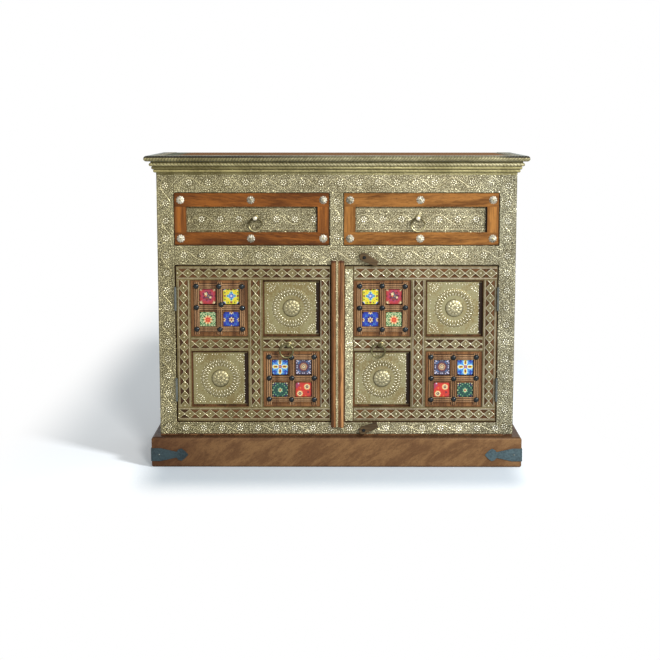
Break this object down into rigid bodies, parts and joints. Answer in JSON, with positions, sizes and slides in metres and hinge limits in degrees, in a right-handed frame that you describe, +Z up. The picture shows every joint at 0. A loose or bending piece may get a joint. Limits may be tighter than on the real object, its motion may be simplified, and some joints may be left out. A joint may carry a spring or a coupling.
{
  "type": "brass-clad sideboard cabinet",
  "caption": "Low wooden sideboard clad in embossed and pierced brass, with two drawers over two tiled doors, ring pulls, turn buttons and a plinth.",
  "frame": {"origin": "on the floor, under the middle of the bounding box", "axes": "+X to the right along the front, +Y from the front to the back, +Z up; doors and drawers face -Y"},
  "size_m": [1.1, 0.4, 0.91],
  "materials": {
    "plinth_wood": "waxed brown hardwood",
    "case_wood": "waxed brown hardwood",
    "top_wood": "waxed reddish-brown hardwood",
    "cornice_brass": "aged embossed sheet brass",
    "embossed_brass": "aged embossed sheet brass, silvery on the high points",
    "fret_brass": "aged pierced sheet brass",
    "door_wood": "dark stained hardwood",
    "frame_wood": "waxed dark brown hardwood",
    "tile_glaze": "glossy hand-painted glaze",
    "red_wood": "waxed reddish-orange hardwood",
    "drawer_wood": "plain planed wood",
    "iron": "blackened iron",
    "steel": "dull steel",
    "cast_brass": "worn turned brass"
  },
  "bodies": {
    "case": {"plinth_front": "plinth_wood", "plinth_ends": "plinth_wood", "plinth_back": "plinth_wood", "corner_straps": "iron", "floor_board": "case_wood", "front_stiles": "case_wood", "back_posts": "case_wood", "top_rail": "case_wood", "middle_rail": "case_wood", "bottom_rail": "case_wood", "drawer_divider": "case_wood", "case_rails": "case_wood", "side_panels": "case_wood", "back_panel": "case_wood", "shelf": "case_wood", "cleats": "case_wood", "drawer_runners": "case_wood", "top_board": "top_wood", "top_nosing": "cornice_brass", "front_cornice": "cornice_brass", "side_cornices": "cornice_brass", "sheet_cladding": "embossed_brass", "hinge_frame_leaves": "steel", "button_screws": "iron"},
    "left_door": {"left_door_stiles": "door_wood", "left_door_rails": "door_wood", "left_door_panels": "door_wood", "left_door_fretwork": "fret_brass", "left_door_boss_sheets": "embossed_brass", "left_door_tile_frames": "frame_wood", "left_door_tiles": "tile_glaze", "left_door_hinge_leaves": "steel", "left_door_ring_post": "cast_brass"},
    "right_door": {"right_door_stiles": "door_wood", "right_door_rails": "door_wood", "right_door_panels": "door_wood", "right_door_fretwork": "fret_brass", "right_door_boss_sheets": "embossed_brass", "right_door_tile_frames": "frame_wood", "right_door_tiles": "tile_glaze", "right_door_hinge_leaves": "steel", "right_door_ring_post": "cast_brass", "astragal": "red_wood", "astragal_strip": "fret_brass"},
    "left_drawer": {"left_drawer_frame": "red_wood", "left_drawer_plate": "embossed_brass", "left_drawer_box": "drawer_wood", "left_drawer_bottom": "drawer_wood", "left_drawer_ring_post": "cast_brass"},
    "right_drawer": {"right_drawer_frame": "red_wood", "right_drawer_plate": "embossed_brass", "right_drawer_box": "drawer_wood", "right_drawer_bottom": "drawer_wood", "right_drawer_ring_post": "cast_brass"},
    "left_door_ring": {"left_door_ring": "cast_brass"},
    "right_door_ring": {"right_door_ring": "cast_brass"},
    "left_drawer_ring": {"left_drawer_ring": "cast_brass"},
    "right_drawer_ring": {"right_drawer_ring": "cast_brass"},
    "upper_turn_button": {"upper_turn_button": "red_wood"},
    "lower_turn_button": {"lower_turn_button": "red_wood"}
  },
  "joints": [
    {"name": "left_door_hinge", "type": "hinge", "parent": "case", "child": "left_door", "pos_m": [-0.468, -0.1723, 0.36225], "axis": [0, 0, -1], "range_deg": [0, 110]},
    {"name": "right_door_hinge", "type": "hinge", "parent": "case", "child": "right_door", "pos_m": [0.468, -0.1723, 0.36225], "axis": [0, 0, 1], "range_deg": [0, 110]},
    {"name": "left_drawer_slide", "type": "slide", "parent": "case", "child": "left_drawer", "axis": [0, -1, 0], "range_m": [0, 0.25]},
    {"name": "right_drawer_slide", "type": "slide", "parent": "case", "child": "right_drawer", "axis": [0, -1, 0], "range_m": [0, 0.25]},
    {"name": "left_door_ring_hinge", "type": "hinge", "parent": "left_door", "child": "left_door_ring", "pos_m": [-0.1395, -0.1735, 0.361], "axis": [-0.9397, 0, 0.342], "range_deg": [0, 90]},
    {"name": "right_door_ring_hinge", "type": "hinge", "parent": "right_door", "child": "right_door_ring", "pos_m": [0.13, -0.1735, 0.361], "axis": [-0.9063, 0, 0.4226], "range_deg": [0, 90]},
    {"name": "left_drawer_ring_hinge", "type": "hinge", "parent": "left_drawer", "child": "left_drawer_ring", "pos_m": [-0.2345, -0.1675, 0.731], "axis": [-1, 0, 0], "range_deg": [0, 90]},
    {"name": "right_drawer_ring_hinge", "type": "hinge", "parent": "right_drawer", "child": "right_drawer_ring", "pos_m": [0.2345, -0.1675, 0.731], "axis": [-1, 0, 0], "range_deg": [0, 90]},
    {"name": "upper_button_turn", "type": "hinge", "parent": "case", "child": "upper_turn_button", "pos_m": [0.08, -0.176, 0.618], "axis": [0, 1, 0], "range_deg": [-58, 63]},
    {"name": "lower_button_turn", "type": "hinge", "parent": "case", "child": "lower_turn_button", "pos_m": [0.08, -0.176, 0.1085], "axis": [0, 1, 0], "range_deg": [-68, 27]}
  ]
}
